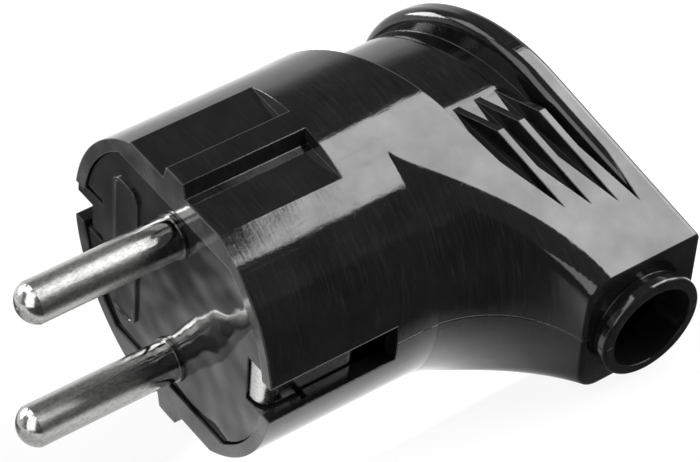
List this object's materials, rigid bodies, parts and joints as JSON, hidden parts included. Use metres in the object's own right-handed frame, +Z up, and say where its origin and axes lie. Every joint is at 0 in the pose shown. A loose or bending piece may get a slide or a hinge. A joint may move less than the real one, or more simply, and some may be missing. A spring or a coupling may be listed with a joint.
{
  "type": "right-angle earthed mains plug",
  "caption": "Angled two-pin mains plug with side earth contacts, a finned grip, a teardrop pull flange and a sideways cord collar, in a glossy black split housing.",
  "frame": {"origin": "midway between the pin axes, in the plane of the housing rim's front edge", "axes": "pins point along -X, +Z is up with the plug lying on one flank, and the cord leaves along -Y, sloping down about 22 degrees"},
  "size_m": [0.0668, 0.0496, 0.0368],
  "materials": {
    "housing_plastic": "glossy",
    "carrier_plastic": "semi-gloss",
    "nickel_plate": "satin",
    "screw_steel": "satin"
  },
  "bodies": {
    "root": {"upper_shell": "housing_plastic", "lower_shell": "housing_plastic", "contact_carrier": "carrier_plastic", "upper_pin": "nickel_plate", "lower_pin": "nickel_plate", "earth_strap": "nickel_plate", "upper_terminal_screw": "screw_steel", "lower_terminal_screw": "screw_steel", "earth_terminal_screw": "screw_steel", "earth_wire_washer": "screw_steel", "cord_clamp": "screw_steel", "cord_clamp_screws": "screw_steel", "housing_screws": "screw_steel"}
  },
  "joints": []
}
